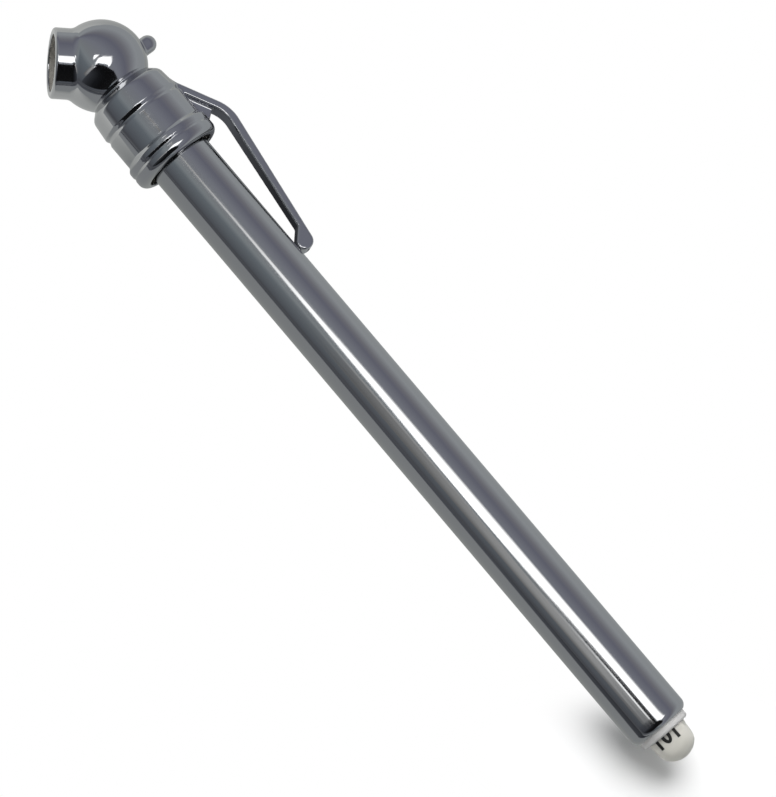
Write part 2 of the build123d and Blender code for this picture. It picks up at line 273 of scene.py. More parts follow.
# How far points lie outside the casting, less than 0 inside it
def headDistance(points):
    along, up, side = points.T
    offAxis = np.hypot(up, side)
    depth, offChuck = inChuck(along, up, side)
    ball = np.hypot(along + head["ballBack"], offAxis) - head["ballR"]
    body = joined(ball, outlineDistance(chuckParts, depth, offChuck), head["ballRoot"])
    body = joined(body, outlineDistance(collarParts, along, offAxis), head["collarRoot"])
    pastDome = up - np.clip(up, 0, head["nubDome"])
    nub = np.sqrt((along + head["nubBack"]) ** 2 + side**2 + pastDome**2) - head["nubR"]
    body = joined(body, nub, head["nubRoot"])
    relief = np.maximum(-head["reliefBack"] - along, head["reliefUp"] - up)
    body = shared(body, -relief, head["smallRound"])
    width = np.interp(along, head["clipEnds"], head["clipWidths"])
    clip = shared(outlineDistance(clipParts, along, up), np.abs(side) - width / 2, head["clipEdge"])
    web = shared(outlineDistance(webParts, along, up), np.abs(side) - head["webHalf"], head["webEdge"])
    body = joined(body, joined(clip, web, head["clipRoot"]), head["clipRoot"])
    body = shared(body, -outlineDistance(chuckBore, depth, offChuck), head["smallRound"])
    return shared(body, -outlineDistance(collarBore, along, offAxis), head["smallRound"])


# Where the plating doesn't reach: the walls of the bores, past their mouths
def insideBores(points):
    along, up, side = points.T
    depth, offChuck = inChuck(along, up, side)
    chuckEnd, collarEnd = head["unplated"]
    wall = 0.05  # counts as on the bore's wall
    unplatedChuck = (outlineDistance(chuckBore, depth, offChuck) < wall) & (depth > chuckEnd)
    unplatedCollar = (outlineDistance(collarBore, along, np.hypot(up, side)) < wall) & (along < -collarEnd)
    return unplatedChuck | unplatedCollar


# The way out of the casting at each point
def headNormals(points):
    step = 0.01
    corners = np.array([(1, -1, -1), (-1, -1, 1), (-1, 1, -1), (1, 1, 1)], float)
    normals = sum(corner * headDistance(points + step * corner)[:, None] for corner in corners)
    return normals / np.linalg.norm(normals, axis=1)[:, None]


# The casting's solid, meshed finely and drawn onto its exact form, so that the plating mirrors cleanly
def makeHead():
    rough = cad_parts["head_casting"].data.copy()
    rough.transform(Matrix.Scale(1 / mm, 4) @ Matrix.Translation(-atBarrel(0)))
    draft = showMesh("headDraft", rough)
    remesh = draft.modifiers.new("remesh", "REMESH")
    remesh.mode = "VOXEL"
    remesh.voxel_size = head["grain"]
    graph = bpy.context.evaluated_depsgraph_get()
    mesh = bpy.data.meshes.new_from_object(draft.evaluated_get(graph))
    bpy.data.objects.remove(draft)
    points = np.empty(len(mesh.vertices) * 3)
    mesh.vertices.foreach_get("co", points)
    points = points.reshape(-1, 3)
    for _ in range(head["passes"]):
        away = np.clip(headDistance(points), -head["farthest"], head["farthest"])
        points = points - headNormals(points) * away[:, None]
    normals = headNormals(points)
    mesh.vertices.foreach_set("co", (points * mm + np.array(atBarrel(0))).ravel())
    mesh.polygons.foreach_set("use_smooth", np.ones(len(mesh.polygons), bool))
    corners = np.empty(len(mesh.polygons) * 4, int)
    mesh.polygons.foreach_get("vertices", corners)
    unplated = insideBores(points[corners].reshape(-1, 4, 3).mean(axis=1))
    mesh.polygons.foreach_set("material_index", unplated.astype(int))
    mesh.update()
    mesh.normals_split_custom_set_from_vertices(normals.tolist())
    mesh.name = "headCasting"
    print("head:", len(mesh.vertices), "points")
    return showMesh("headCasting", mesh)


headCasting = makeHead()
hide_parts("head_casting")
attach(headCasting, "barrel")


# Rings of points round the barrel's axis, skinned in order.
# Each is a place and a radius, or a place and one radius for each point.
def ringPiece(name, rings, around, sharpAngle=30):
    angles = anglesRound(around)
    points = []
    for along, radius in rings:
        radii = np.broadcast_to(radius, around)
        points += [atBarrel(along, r * math.cos(a), r * math.sin(a)) for r, a in zip(radii, angles)]
    faces = []
    for i in range(len(rings)):
        here, there = i * around, (i + 1) % len(rings) * around
        for j in range(around):
            k = (j + 1) % around
            faces.append((here + j, here + k, there + k, there + j))
    mesh = newMesh(name, points, faces, smooth=True)
    mesh.set_sharp_from_angle(angle=math.radians(sharpAngle))
    mesh.update()
    return showMesh(name, mesh)


# Points of an arc between two angles, as place and radius
def arcRings(middle, radius, start, end, steps):
    turns = np.radians(np.linspace(start, end, steps + 1))
    return [(middle[0] + radius * math.cos(a), middle[1] + radius * math.sin(a)) for a in turns]


# Barrel: drawn tube with a rolled thread at one end and a rolled-in edge at the other
tube = {
    "outerR": 4.75,
    "wall": 0.35,
    "rollR": 1.35,
    "rollAngle": 58,
    "threadCrest": 4.95,
    "threadRoot": 4.78,
    "threadPitch": 0.8,
    "threadSpan": (0.4, 6.8),  # from the tube's inner end
    "threadRunOut": 0.1,
    "around": 192,
}
rollStart = tubeEnd - tube["rollR"] * math.sin(math.radians(tube["rollAngle"]))


def makeTube():
    middle = (rollStart, tube["outerR"] - tube["rollR"])
    innerR, innerRoll = tube["outerR"] - tube["wall"], tube["rollR"] - tube["wall"]
    rollEnd = 90 - tube["rollAngle"]
    threadStart, threadEnd = [place - seatDepth for place in tube["threadSpan"]]
    angles = anglesRound(tube["around"])
    rings = [(-seatDepth, tube["threadRoot"])]
    for along in np.arange(threadStart, threadEnd, tube["threadPitch"] / 10):
        wave = 0.5 + 0.5 * np.cos(2 * math.pi * along / tube["threadPitch"] - angles)
        rings.append((along, tube["threadRoot"] + (tube["threadCrest"] - tube["threadRoot"]) * wave))
    rings += [(threadEnd + tube["threadRunOut"], tube["outerR"])]
    rings += [(-1.5, tube["outerR"])]  # just inside the collar's mouth
    rings += [(along, tube["outerR"]) for along in np.linspace(0, rollStart - 1, 12)]
    rings += arcRings(middle, tube["rollR"], 90, rollEnd, 20)
    rings += arcRings(middle, innerRoll, rollEnd, 90, 16)
    rings += [(-seatDepth, innerR)]
    return ringPiece("barrelTube", rings, tube["around"])


barrelTube = makeTube()
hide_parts("barrel_tube")
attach(barrelTube, "barrel")
print("tube made")

# Bar: four flats on a round rod, with a domed tip
bar = {
    "r": 3.35,
    "flats": 5.7,
    "turn": 30,
    "dome": 3.5,
    "start": -1.7,
    "startEdge": (0.1, 0.97),  # how long it is, and its narrow end as a share of the section
    "cornerSoft": 0.15,
    "domeSoft": 0.6,
    "around": 240,
    "endR": 0.01,  # of the small rings that close it, which can't shrink to points
}


# The lesser of two sizes, with a soft change from one to the other
def softLesser(first, second, soft):
    share = np.clip(0.5 + 0.5 * (second - first) / soft, 0, 1)
    return second * (1 - share) + first * share - soft * share * (1 - share)


# The bar's section as radii, grown all round by an amount
def barSection(angles, grown=0.0):
    turned = angles - math.radians(bar["turn"])
    flat = (bar["flats"] / 2 + grown) / np.maximum(np.abs(np.cos(turned)), np.abs(np.sin(turned)))
    return softLesser(flat, np.full_like(flat, bar["r"] + grown), bar["cornerSoft"])


# The bar's radii at one place: its section, cut down by the dome near the tip and free of it further back
def barRadius(along, angles):
    intoDome = np.clip((along - barEnd + bar["dome"]) / bar["dome"], 0, 1)
    dome = bar["r"] * np.sqrt(1 - intoDome**2) + np.clip(barEnd - bar["dome"] - along, 0, 2)
    soft = bar["domeSoft"] * np.sqrt(1 - intoDome**2) + 1e-6
    return softLesser(dome + np.zeros_like(angles), barSection(angles), soft)


def makeBar():
    angles = anglesRound(bar["around"])
    section = barSection(angles)
    domeStart = barEnd - bar["dome"]
    edgeLong, edgeShare = bar["startEdge"]
    rings = [(bar["start"], bar["endR"]), (bar["start"], section * edgeShare)]
    rings += [(bar["start"] + edgeLong, section)]
    rings += [(along, section) for along in np.linspace(5, domeStart - 2.5, 12)]
    rings += [(along, barRadius(along, angles)) for along in np.linspace(domeStart - 2, domeStart, 9)]
    for turn in np.radians(np.linspace(3, 89.5, 44)):
        along = domeStart + bar["dome"] * math.sin(turn)
        rings.append((along, np.maximum(barRadius(along, angles), bar["endR"])))
    return ringPiece("indicatorBar", rings, bar["around"], sharpAngle=40)


indicatorBar = makeBar()
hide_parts("indicator_bar")
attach(indicatorBar, "bar")

# Bushing: its nose stands out of the rolled edge
bushing = {
    "length": 6.4,
    "noseR": 3.9,
    "nose": 1.15,
    "noseEdge": 0.4,
    "shoulder": 0.6,
    "room": 0.02,  # inside the tube
    "barRoom": 0.12,
    "holeEdge": (0.08, 0.06),
    "slot": 0.6,
    "slotLength": 4.0,
}
noseEnd = tubeEnd + bushing["nose"]


def makeBushing():
    innerEnd = rollStart - bushing["length"]
    hole = barSection(anglesRound(bar["around"]), bushing["barRoom"])
    outerR = tube["outerR"] - tube["wall"] - bushing["room"]
    edge = bushing["noseEdge"]
    edgeBack, edgeWider = bushing["holeEdge"]
    rings = [(innerEnd, outerR), (rollStart, outerR), (rollStart + bushing["shoulder"], bushing["noseR"])]
    rings += arcRings((noseEnd - edge, bushing["noseR"] - edge), edge, 90, 0, 8)
    rings += [(noseEnd, hole + edgeWider), (noseEnd - edgeBack, hole), (innerEnd, hole)]
    piece = ringPiece("endBushing", rings, bar["around"])
    for turn in (bar["turn"], bar["turn"] + 90):
        bpy.ops.mesh.primitive_cube_add(size=1, location=atBarrel(innerEnd))
        cutter = bpy.context.object
        cutter.rotation_euler.x = math.radians(turn)
        cutter.scale = (2 * bushing["slotLength"] * mm, 2 * tube["outerR"] * mm, bushing["slot"] * mm)
        cut = piece.modifiers.new("slot", "BOOLEAN")
        cut.operation, cut.object, cut.solver = "DIFFERENCE", cutter, "MANIFOLD"
        graph = bpy.context.evaluated_depsgraph_get()
        mesh = bpy.data.meshes.new_from_object(piece.evaluated_get(graph))
        piece.modifiers.clear()
        piece.data = mesh
        bpy.data.objects.remove(cutter)
    return piece


endBushing = makeBushing()
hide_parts("end_bushing")
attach(endBushing, "barrel")

# Printed scale: a zero between two strokes at the tip, then plain numbers, and a second scale underneath
scale = {
    "ink": 0.035,
    "inkSunk": 0.03,  # below the flat, so that no gap shows
    "digitHeight": 2.0,
    "zeroSide": 120,  # degrees round the bar, as in sides
    "zeroHeight": 2.4,
    "zeroWidth": 1.45,
    "zeroStroke": 0.5,
    "zeroAt": 107.5,
    "strokeAside": 1.5,
    "strokeHalf": 0.23,
    "strokeEnds": (-1.5, 1.2),  # from the zero's middle
    "strokeStep": 0.15,
    "tickWidth": 0.14,
    "tickLength": 0.42,
    "tickEdge": 1.66,  # a tick's outer end, from the flat's middle
    "ticksPerNumber": 5,
    "sides": {120: ("10", "20", "30", "40", "50"), 300: ("100", "200", "300")},
}


# An outline of ink laid on one of the bar's flats. Its points are across the flat and along the barrel.
def layInk(points, faces, outline, inner, flatAngle):
    start = len(points)
    turn = math.radians(flatAngle)
    for thick in (-scale["inkSunk"], scale["ink"]):
        for across, along in outline + inner:
            height = bar["flats"] / 2
            for _ in range(4):
                radius = barRadius(along, np.array([turn - math.atan2(across, height)]))[0]
                height = math.sqrt(radius**2 - across**2)
            height += thick
            up = height * math.cos(turn) + across * math.sin(turn)
            side = height * math.sin(turn) - across * math.cos(turn)
            points.append(atBarrel(along, up, side))
    n = len(outline)
    if inner:
        for i in range(n):
            k = (i + 1) % n
            low, lowIn, high, highIn = start, start + n, start + 2 * n, start + 3 * n
            faces.append((high + i, high + k, highIn + k, highIn + i))
            faces.append((low + k, low + i, lowIn + i, lowIn + k))
            faces.append((low + i, low + k, high + k, high + i))
            faces.append((lowIn + k, lowIn + i, highIn + i, highIn + k))
    else:
        faces.append(tuple(range(start + n, start + 2 * n)))
        faces.append(tuple(range(start + n - 1, start - 1, -1)))
        for i in range(n):
            k = (i + 1) % n
            faces.append((start + i, start + k, start + n + k, start + n + i))


# Flat outlines of a number in Blender's own face, centred and 1 high, as triangles of across and up
def numberShapes(text):
    curve = bpy.data.curves.new(text, "FONT")
    curve.body, curve.size = text, 1.0
    curve.align_x = curve.align_y = "CENTER"
    curve.resolution_u = 3
    digits = bpy.data.objects.new(text, curve)
    bpy.context.collection.objects.link(digits)
    mesh = bpy.data.meshes.new_from_object(digits.evaluated_get(bpy.context.evaluated_depsgraph_get()))
    mesh.calc_loop_triangles()
    places = [vertex.co for vertex in mesh.vertices]
    middle = sum(places, Vector()) / len(places)
    height = max(p.y for p in places) - min(p.y for p in places)
    shapes = [[(places[v] - middle) / height for v in face.vertices] for face in mesh.loop_triangles]
    bpy.data.objects.remove(digits)
    return shapes


def rectangle(left, right, low, high):
    return [(left, low), (right, low), (right, high), (left, high)]


# An ellipse for each edge of the zero, and short plates for the strokes, which follow the dome
def layTipMarks(points, faces):
    zero, flatAngle = scale["zeroAt"], scale["zeroSide"]
    turns = np.radians(np.arange(0, 360, 12))
    halfWide, halfHigh = 0.5 * scale["zeroWidth"], 0.5 * scale["zeroHeight"]
    outer = [(halfWide * math.cos(t), zero + halfHigh * math.sin(t)) for t in turns]
    shrink = [1 - scale["zeroStroke"] / half for half in (halfWide, halfHigh)]
    inner = [(x * shrink[0], zero + (y - zero) * shrink[1]) for x, y in outer]
    layInk(points, faces, outer, inner, flatAngle)
    for aside in (-scale["strokeAside"], scale["strokeAside"]):
        left, right = aside - scale["strokeHalf"], aside + scale["strokeHalf"]
        for low in zero + np.arange(*scale["strokeEnds"], scale["strokeStep"]):
            layInk(points, faces, rectangle(left, right, low, low + scale["strokeStep"]), [], flatAngle)


# Numbers and ticks that come out of the bushing one after another, up to the bar's full travel
def layNumbers(points, faces, flatAngle, numbers):
    step = travel / len(numbers)
    for i, text in enumerate(numbers):
        middle = noseEnd - step * (i + 1)
        for shape in numberShapes(text):
            outline = [(p.x * scale["digitHeight"], middle - p.y * scale["digitHeight"]) for p in shape]
            layInk(points, faces, outline[::-1], [], flatAngle)
    half = scale["tickWidth"] / 2
    for i in range(1, scale["ticksPerNumber"] * len(numbers) + 1):
        at = noseEnd - step * i / scale["ticksPerNumber"]
        for side in (-1, 1):
            ends = sorted((side * scale["tickEdge"], side * (scale["tickEdge"] - scale["tickLength"])))
            layInk(points, faces, rectangle(*ends, at - half, at + half), [], flatAngle)


def makeScale():
    points, faces = [], []
    layTipMarks(points, faces)
    for flatAngle, numbers in scale["sides"].items():
        layNumbers(points, faces, flatAngle, numbers)
    return showMesh("printedScale", newMesh("printedScale", points, faces))


printedScale = makeScale()
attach(printedScale, "bar")
print("bar, bushing and scale made")

# Spring: round wire in even turns. A real one's end turns are closed and ground, but the tube hides them.
spring = {"wireR": 0.4, "turns": 20, "sides": 10, "steps": 40}
springLow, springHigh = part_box("calibrated_spring")


def makeSpring():
    wireR, sides = spring["wireR"], spring["sides"]
    start, end = (springLow.x - collarX) / mm, (springHigh.x - collarX) / mm
    coilR = (springHigh.z - springLow.z) / 2 / mm - wireR
    run = end - start - 2 * wireR
    count = spring["turns"] * spring["steps"] + 1
    points, faces = [], []
    for i in range(count):
        turn = 2 * math.pi * i / spring["steps"]
        out = Vector((0, math.cos(turn), math.sin(turn)))
        centre = atBarrel(start + wireR + run * i / (count - 1)) + out * coilR * mm
        for a in anglesRound(sides):
            points.append(centre + (out * math.cos(a) + Vector((math.sin(a), 0, 0))) * wireR * mm)
    for i in range(count - 1):
        for j in range(sides):
            k = (j + 1) % sides
            faces.append((i * sides + j, i * sides + k, (i + 1) * sides + k, (i + 1) * sides + j))
    faces += [tuple(range(sides - 1, -1, -1)), tuple(range((count - 1) * sides, count * sides))]
    return showMesh("calibratedSpring", newMesh("calibratedSpring", points, faces, smooth=True))


calibratedSpring = makeSpring()
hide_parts("calibrated_spring")
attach(calibratedSpring, "barrel")
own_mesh(calibratedSpring)
print("spring made")


# sRGB hex to the linear colour that a shader takes
def linear(code):
    parts = [int(code[i : i + 2], 16) / 255 for i in (0, 2, 4)]
    return tuple(p / 12.92 if p <= 0.04045 else ((p + 0.055) / 1.055) ** 2.4 for p in parts) + (1.0,)


# A shader node with its settings. An input is a value, a socket, or a node that gives its first output.
def addNode(tree, kind, inputs=None, **settings):
    node = tree.nodes.new(kind)
    for key, value in settings.items():
        setattr(node, key, value)
    for key, value in (inputs or {}).items():
        source = value.outputs[0] if isinstance(value, bpy.types.Node) else value
        if isinstance(source, bpy.types.NodeSocket):
            tree.links.new(source, node.inputs[key])
        else:
            node.inputs[key].default_value = source
    return node


def startFinish(name):
    finish = bpy.data.materials.new(name)
    finish.use_nodes = True
    finish.node_tree.nodes.clear()
    return finish, finish.node_tree


polishedPlate = {
    "tone": "c2c3c5",
    "swell": 3.0,  # mm across the low waves that the polishing wheel leaves
    "swellDepth": 0.03,
    "haze": 1.2,  # mm across the patches that are a little less bright
    "roughness": (0.045, 0.1),
}


# Bright chrome plate on zinc polished by hand before plating: a dark, sharp mirror whose lines swim a little
def chromedZinc():
    finish, tree = startFinish("chromePlateOnPolishedZinc")
    place = addNode(tree, "ShaderNodeTexCoord").outputs["Object"]
    swell = addNode(tree, "ShaderNodeTexNoise", {
        "Vector": place,
        "Scale": 1 / (polishedPlate["swell"] * mm),
        "Detail": 1.0,
    })
    haze = addNode(tree, "ShaderNodeTexNoise", {
        "Vector": place,
        "Scale": 1 / (polishedPlate["haze"] * mm),
        "Detail": 2.0,
    })
    gloss = addNode(tree, "ShaderNodeMapRange", {
        "Value": haze,
        "From Min": 0.3,  # the noise seldom leaves 0.3 to 0.7
        "From Max": 0.7,
        "To Min": polishedPlate["roughness"][0],
        "To Max": polishedPlate["roughness"][1],
    })
    waves = addNode(tree, "ShaderNodeBump", {
        "Height": swell,
        "Strength": 0.35,
        "Distance": polishedPlate["swellDepth"] * mm,
    })
    plated = addNode(tree, "ShaderNodeBsdfPrincipled", {
        "Base Color": linear(polishedPlate["tone"]),
        "Metallic": 1.0,
        "Roughness": gloss,
        "Normal": waves,
    })
    addNode(tree, "ShaderNodeOutputMaterial", {"Surface": plated})
    return finish


bareZinc = {"tone": "96938c", "metallic": 0.25, "roughness": 0.55, "grain": 0.6, "grainDepth": 0.03}


# Zinc as cast in the bores, where plating hardly reaches: warm grey and matt, so the mouth reads as a hollow
def castZinc():
    finish, tree = startFinish("zincAsCast")
    place = addNode(tree, "ShaderNodeTexCoord").outputs["Object"]
    grain = addNode(tree, "ShaderNodeTexNoise", {
        "Vector": place,
        "Scale": 1 / (bareZinc["grain"] * mm),
        "Detail": 1.0,
    })
    skin = addNode(tree, "ShaderNodeBump", {
        "Height": grain,
        "Strength": 0.3,
        "Distance": bareZinc["grainDepth"] * mm,
    })
    zinc = addNode(tree, "ShaderNodeBsdfPrincipled", {
        "Base Color": linear(bareZinc["tone"]),
        "Metallic": bareZinc["metallic"],
        "Roughness": bareZinc["roughness"],
        "Normal": skin,
    })
    addNode(tree, "ShaderNodeOutputMaterial", {"Surface": zinc})
    return finish


drawnPlate = {
    "tone": "c4c5c6",
    "lines": 0.25,  # mm between the drawing die's lines, coarser than real ones so that they show
    "lineStretch": 50,  # how much longer they are than wide
    "lineDepth": 0.004,
    "roughness": (0.06, 0.11),
}


# Bright chrome plate on drawn tube: a sharper mirror than the casting, broken by faint lines along it
def chromedTube():
    finish, tree = startFinish("chromePlateOnDrawnTube")
    place = addNode(tree, "ShaderNodeTexCoord").outputs["Object"]
    drawn = addNode(tree, "ShaderNodeMapping", {
        "Vector": place,
        "Scale": (1 / drawnPlate["lineStretch"], 1.0, 1.0),
    })
    lines = addNode(tree, "ShaderNodeTexNoise", {
        "Vector": drawn,
        "Scale": 1 / (drawnPlate["lines"] * mm),
        "Detail": 2.0,
    })
    gloss = addNode(tree, "ShaderNodeMapRange", {
        "Value": lines,
        "From Min": 0.3,
        "From Max": 0.7,
        "To Min": drawnPlate["roughness"][0],
        "To Max": drawnPlate["roughness"][1],
    })
    ridges = addNode(tree, "ShaderNodeBump", {
        "Height": lines,
        "Strength": 0.15,
        "Distance": drawnPlate["lineDepth"] * mm,
    })
    plated = addNode(tree, "ShaderNodeBsdfPrincipled", {
        "Base Color": linear(drawnPlate["tone"]),
        "Metallic": 1.0,
        "Roughness": gloss,
        "Normal": ridges,
    })
    addNode(tree, "ShaderNodeOutputMaterial", {"Surface": plated})
    return finish


# A moulded, pressed, printed or drawn finish, with a little grain in its tone and its surface
def grainedFinish(name, light, dark, roughness, grain, depth, metallic=0.0, soft=0.0):
    finish, tree = startFinish(name)
    place = addNode(tree, "ShaderNodeTexCoord").outputs["Object"]
    specks = addNode(tree, "ShaderNodeTexNoise", {"Vector": place, "Scale": 1 / (grain * mm), "Detail": 3.0})
    tone = addNode(tree, "ShaderNodeMix", {0: specks, 6: linear(light), 7: linear(dark)}, data_type="RGBA")
    skin = addNode(tree, "ShaderNodeBump", {"Height": specks, "Strength": 0.3, "Distance": depth * mm})
    body = addNode(tree, "ShaderNodeBsdfPrincipled", {
        "Base Color": tone.outputs[2],
        "Metallic": metallic,
        "Roughness": roughness,
        "Subsurface Weight": soft,
        "Subsurface Radius": (1.0, 1.0, 0.9),
        "Subsurface Scale": 1.5 * mm,
        "Normal": skin,
    })
    addNode(tree, "ShaderNodeOutputMaterial", {"Surface": body})
    return finish


# Turned metal: fine rings round the barrel's axis from the tool, drawn 0.25 mm apart so that they show
def turnedFinish(name, colour, roughness, ringGap=0.25):
    finish, tree = startFinish(name)
    place = addNode(tree, "ShaderNodeTexCoord").outputs["Object"]
    fromAxis = addNode(tree, "ShaderNodeVectorMath", {0: place, 1: (0, axisY, 0)}, operation="SUBTRACT")
    sizes = {"Vector": fromAxis, "Scale": math.pi / 10 / (ringGap * mm), "Distortion": 0.4}
    rings = addNode(tree, "ShaderNodeTexWave", sizes, wave_type="RINGS", rings_direction="X")
    grooves = addNode(tree, "ShaderNodeBump", {
        "Height": rings.outputs["Fac"],
        "Strength": 0.3,
        "Distance": 0.01 * mm,
    })
    metal = addNode(tree, "ShaderNodeBsdfPrincipled", {
        "Base Color": linear(colour),
        "Metallic": 1.0,
        "Roughness": roughness,
        "Normal": grooves,
    })
    addNode(tree, "ShaderNodeOutputMaterial", {"Surface": metal})
    return finish


# A piece's finishes, put into its slots in order
def dress(piece, *finishes):
    slots = piece.data.materials
    for i, finish in enumerate(finishes):
        if i < len(slots):
            slots[i] = finish
        else:
            slots.append(finish)


# Nylon moulded in a polished tool: cool off-white, satin, with light just under its skin
nylon = grainedFinish(
    "mouldedNaturalNylon", "bbbab9", "b1b0af", roughness=0.42, grain=0.8, depth=0.01, soft=0.15
)
# Styrene moulded round and milled flat: warm white, softer edges to its shadows than paper has
barPlastic = grainedFinish(
    "mouldedWhiteStyrene", "c8c6bf", "c0beb6", roughness=0.38, grain=1.2, depth=0.01, soft=0.4
)
# Ink from a pad: near black, thin and matt beside the plastic
ink = grainedFinish("blackPadPrintInk", "1a1a1a", "101010", roughness=0.5, grain=0.2, depth=0.004)
# Rubber moulded and trimmed: charcoal, no clear highlight
rubber = grainedFinish("mouldedNitrileRubber", "242424", "191919", roughness=0.62, grain=0.15, depth=0.02)
# Fibre pressed in sheets and stamped: brick red and dry
fibre = grainedFinish("vulcanisedFibre", "7a2c1c", "5c1e13", roughness=0.7, grain=0.25, depth=0.02)
# Acetal moulded in a smooth tool: white with a slight wax gloss
acetal = grainedFinish("mouldedAcetal", "e9e9e4", "e0e0da", roughness=0.3, grain=1.0, depth=0.01, soft=0.1)
# Wire drawn and oiled: grey with a soft sheen on the coils
musicWire = grainedFinish(
    "oiledMusicWire", "8e8f92", "77787c", roughness=0.3, grain=0.3, depth=0.01, metallic=1.0
)
# Brass turned from bar: yellow, with rings that catch the light
brass = turnedFinish("turnedBrass", "d8b46a", roughness=0.24)
# Steel strip rolled bright and stamped: cold grey, half shiny
brightSteel = turnedFinish("stampedBrightSteel", "b4b6b8", roughness=0.28)
# Aluminium turned and headed cold: pale, duller than the steel
aluminium = turnedFinish("turnedAluminium", "d6d7d8", roughness=0.34)

dress(headCasting, chromedZinc(), castZinc())
dress(barrelTube, chromedTube())
dress(endBushing, nylon)
dress(indicatorBar, barPlastic)
dress(printedScale, ink)
dress(calibratedSpring, musicWire)
innerFinishes = {
    "chuck_gasket": rubber,
    "pin_spider": brass,
    "depressor_pin": brass,
    "barrel_seal": fibre,
    "piston_cup": rubber,
    "cup_expander": musicWire,
    "cup_washer": brass,
    "cup_rivet": aluminium,
    "piston_body": acetal,
    "spring_seat": brightSteel,
    "spring_stop_washer": brightSteel,
}
for node, finish in innerFinishes.items():
    dress(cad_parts[node], finish)
print("finishes made")

view = {
    "tilt": 21.3,  # from straight above, round the barrel
    "over": 86.0,  # the place along the barrel that the camera hangs over
    "height": 500.0,
    "aimAlong": 45.6,
    "aimUp": 0.53,
    "pixelsPerMm": 6.995,
    "fall": 49.7,  # the barrel's slope in the picture, in degrees
    "frameSize": (776, 797),
}


# The camera, and the ways from the barrel that point at it and upward in front of it
def makeCamera():
    data = bpy.data.cameras.new("camera")
    camera = bpy.data.objects.new("camera", data)
    bpy.context.collection.objects.link(camera)
    tilt = math.radians(view["tilt"])
    overhead = Vector((0, -math.sin(tilt), math.cos(tilt)))
    upward = Vector((0, math.cos(tilt), math.sin(tilt)))
    target = atBarrel(view["aimAlong"]) + upward * view["aimUp"] * mm
    place = atBarrel(view["over"]) + overhead * view["height"] * mm
    back = (place - target).normalized()
    level = (Vector((1, 0, 0)) - back * back.x).normalized()
    rise = back.cross(level)
    fall = math.radians(view["fall"])
    right = level * math.cos(fall) + rise * math.sin(fall)
    up = rise * math.cos(fall) - level * math.sin(fall)
    camera.matrix_world = Matrix.Translation(place) @ Matrix((right, up, back)).transposed().to_4x4()
    data.sensor_width = 36  # a full frame's
    distance = (place - target).length / mm
    data.lens = view["pixelsPerMm"] * distance * data.sensor_width / max(view["frameSize"])
    data.clip_start, data.clip_end = 0.01, 20
    bpy.context.scene.camera = camera
    return overhead, upward


overhead, upward = makeCamera()
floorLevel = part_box("head_casting")[0].z


# 1 for rays straight from the camera, off something glossy or through glass, and 0 for others
def addSeenRays(tree):
    rays = addNode(tree, "ShaderNodeLightPath").outputs
    seen = rays["Is Camera Ray"]
    for kind in ("Is Glossy Ray", "Is Transmission Ray"):
        seen = addNode(tree, "ShaderNodeMath", {0: seen, 1: rays[kind]}, operation="MAXIMUM")
    return seen


paper = {
    "size": 6000.0,
    "tone": "f2f2f2",
    "shadowAt": (108.4, -1.8),  # middle of the shadow that is kept, along the barrel and aside
    "shadowReach": (24.0, 9.8),
    "shadowTurn": -51.0,
    "shadowFade": (0.15, 1.15),  # shares of its reach between which it fades to white
}


# White paper. Camera, glossy and transmission rays see it pure white, but for the shadow under the tip.
def makeFloor():
    half = paper["size"] / 2 * mm
    corners = [(-half, -half), (half, -half), (half, half), (-half, half)]
    mesh = newMesh("floor", [(x, y, floorLevel) for x, y in corners], [(0, 1, 2, 3)])
    floor = showMesh("floor", mesh)
    finish, tree = startFinish("whitePaper")
    straight = addSeenRays(tree)
    place = addNode(tree, "ShaderNodeTexCoord").outputs["Object"]
    middle = atBarrel(*paper["shadowAt"])
    fromTip = addNode(tree, "ShaderNodeVectorMath", {
        0: place,
        1: (middle.x, middle.y, floorLevel),
    }, operation="SUBTRACT")
    turned = addNode(tree, "ShaderNodeVectorRotate", {
        "Vector": fromTip,
        "Angle": math.radians(paper["shadowTurn"]),
    }, rotation_type="Z_AXIS")
    scaled = addNode(tree, "ShaderNodeVectorMath", {
        0: turned,
        1: (*[1 / (reach * mm) for reach in paper["shadowReach"]], 0),
    }, operation="MULTIPLY")
    reach = addNode(tree, "ShaderNodeVectorMath", {0: scaled}, operation="LENGTH")
    clear = addNode(tree, "ShaderNodeMapRange", {
        "Value": reach.outputs["Value"],
        "From Min": paper["shadowFade"][0],
        "From Max": paper["shadowFade"][1],
    }, interpolation_type="SMOOTHERSTEP")
    white = addNode(tree, "ShaderNodeMath", {0: straight, 1: clear}, operation="MULTIPLY")
    sheet = addNode(tree, "ShaderNodeBsdfDiffuse", {"Color": linear(paper["tone"])})
    glow = addNode(tree, "ShaderNodeEmission", {"Color": (1, 1, 1, 1), "Strength": 1.0})
    seen = addNode(tree, "ShaderNodeMixShader", {0: white, 1: sheet, 2: glow})
    addNode(tree, "ShaderNodeOutputMaterial", {"Surface": seen})
    mesh.materials.append(finish)


makeFloor()

# Room: its own light, and the shell that the metal mirrors, whose tones stand at degrees round the barrel.
# The shell is a painted reflection: it glows for glossy rays only and lights nothing.
room = {
    "grey": "a4a5a5",
    "far": 20000.0,
    "strength": 1.68,
    "tones": [
        (-180, "7c7f7e"), (-105, "888b8e"), (-75, "6a6a70"), (-60, "5f606b"), (-30, "70727a"), (0, "74777a"),
        (14, "767b7e"), (26, "5f656a"), (60, "4c4f54"), (69, "404145"), (75, "76787a"), (99, "787a7b"),
        (117, "7b7d7c"), (180, "7c7f7e"),
    ],
}


